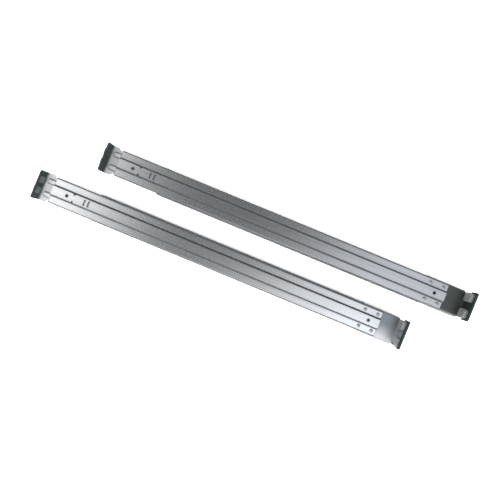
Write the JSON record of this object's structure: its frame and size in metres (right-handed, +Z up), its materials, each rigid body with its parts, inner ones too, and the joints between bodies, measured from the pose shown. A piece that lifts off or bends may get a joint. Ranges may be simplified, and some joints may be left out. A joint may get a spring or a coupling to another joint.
{
  "type": "sliding server rail pair",
  "caption": "Pair of ball-bearing telescopic rack rails with flanged front brackets and adjustable rear arms; they carry a server and let it slide out.",
  "frame": {"origin": "middle of the pair on the surface that the rails lie on", "axes": "+X along the rails to the rack's front, +Z up to the side that faces the rack posts, rails lying on their chassis side"},
  "size_m": [0.6396, 0.1156, 0.0372],
  "materials": {
    "zinc_steel": "zinc-plated rolled sheet, satin",
    "dark_zinc_steel": "dark zinc-plated pressed sheet, satin",
    "rivet_steel": "plated rivet steel",
    "cast_zinc": "matte cast zinc",
    "cage_steel": "thin bright strip",
    "ball_steel": "polished bearing balls",
    "spring_steel": "hardened spring steel",
    "black_rubber": "moulded rubber"
  },
  "bodies": {
    "mounts_and_outer_members": {"left_outer_member": "zinc_steel", "left_mount_channel": "zinc_steel", "left_front_bracket": "dark_zinc_steel", "left_front_rivets": "rivet_steel", "left_nut_blocks": "cast_zinc", "left_guide_rivets": "rivet_steel", "left_rear_bumper": "black_rubber", "right_outer_member": "zinc_steel", "right_mount_channel": "zinc_steel", "right_front_bracket": "dark_zinc_steel", "right_front_rivets": "rivet_steel", "right_nut_blocks": "cast_zinc", "right_guide_rivets": "rivet_steel", "right_rear_bumper": "black_rubber"},
    "left_middle_stage": {"left_intermediate_member": "zinc_steel"},
    "left_inner_stage": {"left_inner_member": "zinc_steel", "left_release_pivot": "rivet_steel", "left_release_spring": "spring_steel"},
    "left_outer_roller": {"left_outer_ball_cage": "cage_steel", "left_outer_balls": "ball_steel"},
    "left_inner_roller": {"left_inner_ball_cage": "cage_steel", "left_inner_balls": "ball_steel"},
    "left_lever": {"left_release_lever": "spring_steel"},
    "left_rear_arm": {"left_rear_bracket": "zinc_steel", "left_rear_pegs": "cast_zinc"},
    "right_middle_stage": {"right_intermediate_member": "zinc_steel"},
    "right_inner_stage": {"right_inner_member": "zinc_steel", "right_release_pivot": "rivet_steel", "right_release_spring": "spring_steel"},
    "right_outer_roller": {"right_outer_ball_cage": "cage_steel", "right_outer_balls": "ball_steel"},
    "right_inner_roller": {"right_inner_ball_cage": "cage_steel", "right_inner_balls": "ball_steel"},
    "right_lever": {"right_release_lever": "spring_steel"},
    "right_rear_arm": {"right_rear_bracket": "zinc_steel", "right_rear_pegs": "cast_zinc"}
  },
  "joints": [
    {"name": "left_middle_slide", "type": "slide", "parent": "mounts_and_outer_members", "child": "left_middle_stage", "axis": [1, 0, 0], "range_m": [0, 0.21]},
    {"name": "left_inner_slide", "type": "slide", "parent": "left_middle_stage", "child": "left_inner_stage", "axis": [1, 0, 0], "range_m": [0, 0.21]},
    {"name": "left_outer_cage_roll", "type": "slide", "parent": "mounts_and_outer_members", "child": "left_outer_roller", "axis": [1, 0, 0], "range_m": [0, 0.105]},
    {"name": "left_inner_cage_roll", "type": "slide", "parent": "left_middle_stage", "child": "left_inner_roller", "axis": [1, 0, 0], "range_m": [0, 0.105]},
    {"name": "left_lever_turn", "type": "hinge", "parent": "left_inner_stage", "child": "left_lever", "pos_m": [0.05375, 0.0365, 0.0025], "axis": [0, 0, 1], "range_deg": [0, 12], "stiffness_Nm_per_rad": 0.02},
    {"name": "left_arm_adjust", "type": "slide", "parent": "mounts_and_outer_members", "child": "left_rear_arm", "axis": [-1, 0, 0], "range_m": [0, 0.145]},
    {"name": "right_middle_slide", "type": "slide", "parent": "mounts_and_outer_members", "child": "right_middle_stage", "axis": [1, 0, 0], "range_m": [0, 0.21]},
    {"name": "right_inner_slide", "type": "slide", "parent": "right_middle_stage", "child": "right_inner_stage", "axis": [1, 0, 0], "range_m": [0, 0.21]},
    {"name": "right_outer_cage_roll", "type": "slide", "parent": "mounts_and_outer_members", "child": "right_outer_roller", "axis": [1, 0, 0], "range_m": [0, 0.105]},
    {"name": "right_inner_cage_roll", "type": "slide", "parent": "right_middle_stage", "child": "right_inner_roller", "axis": [1, 0, 0], "range_m": [0, 0.105]},
    {"name": "right_lever_turn", "type": "hinge", "parent": "right_inner_stage", "child": "right_lever", "pos_m": [-0.01975, -0.0365, 0.0025], "axis": [0, 0, -1], "range_deg": [0, 12], "stiffness_Nm_per_rad": 0.02},
    {"name": "right_arm_adjust", "type": "slide", "parent": "mounts_and_outer_members", "child": "right_rear_arm", "axis": [-1, 0, 0], "range_m": [0, 0.145]}
  ],
  "couplings": [
    {"joint": "left_outer_cage_roll", "follows": "left_middle_slide", "ratio": 0.5},
    {"joint": "left_inner_cage_roll", "follows": "left_inner_slide", "ratio": 0.5},
    {"joint": "right_outer_cage_roll", "follows": "right_middle_slide", "ratio": 0.5},
    {"joint": "right_inner_cage_roll", "follows": "right_inner_slide", "ratio": 0.5}
  ]
}
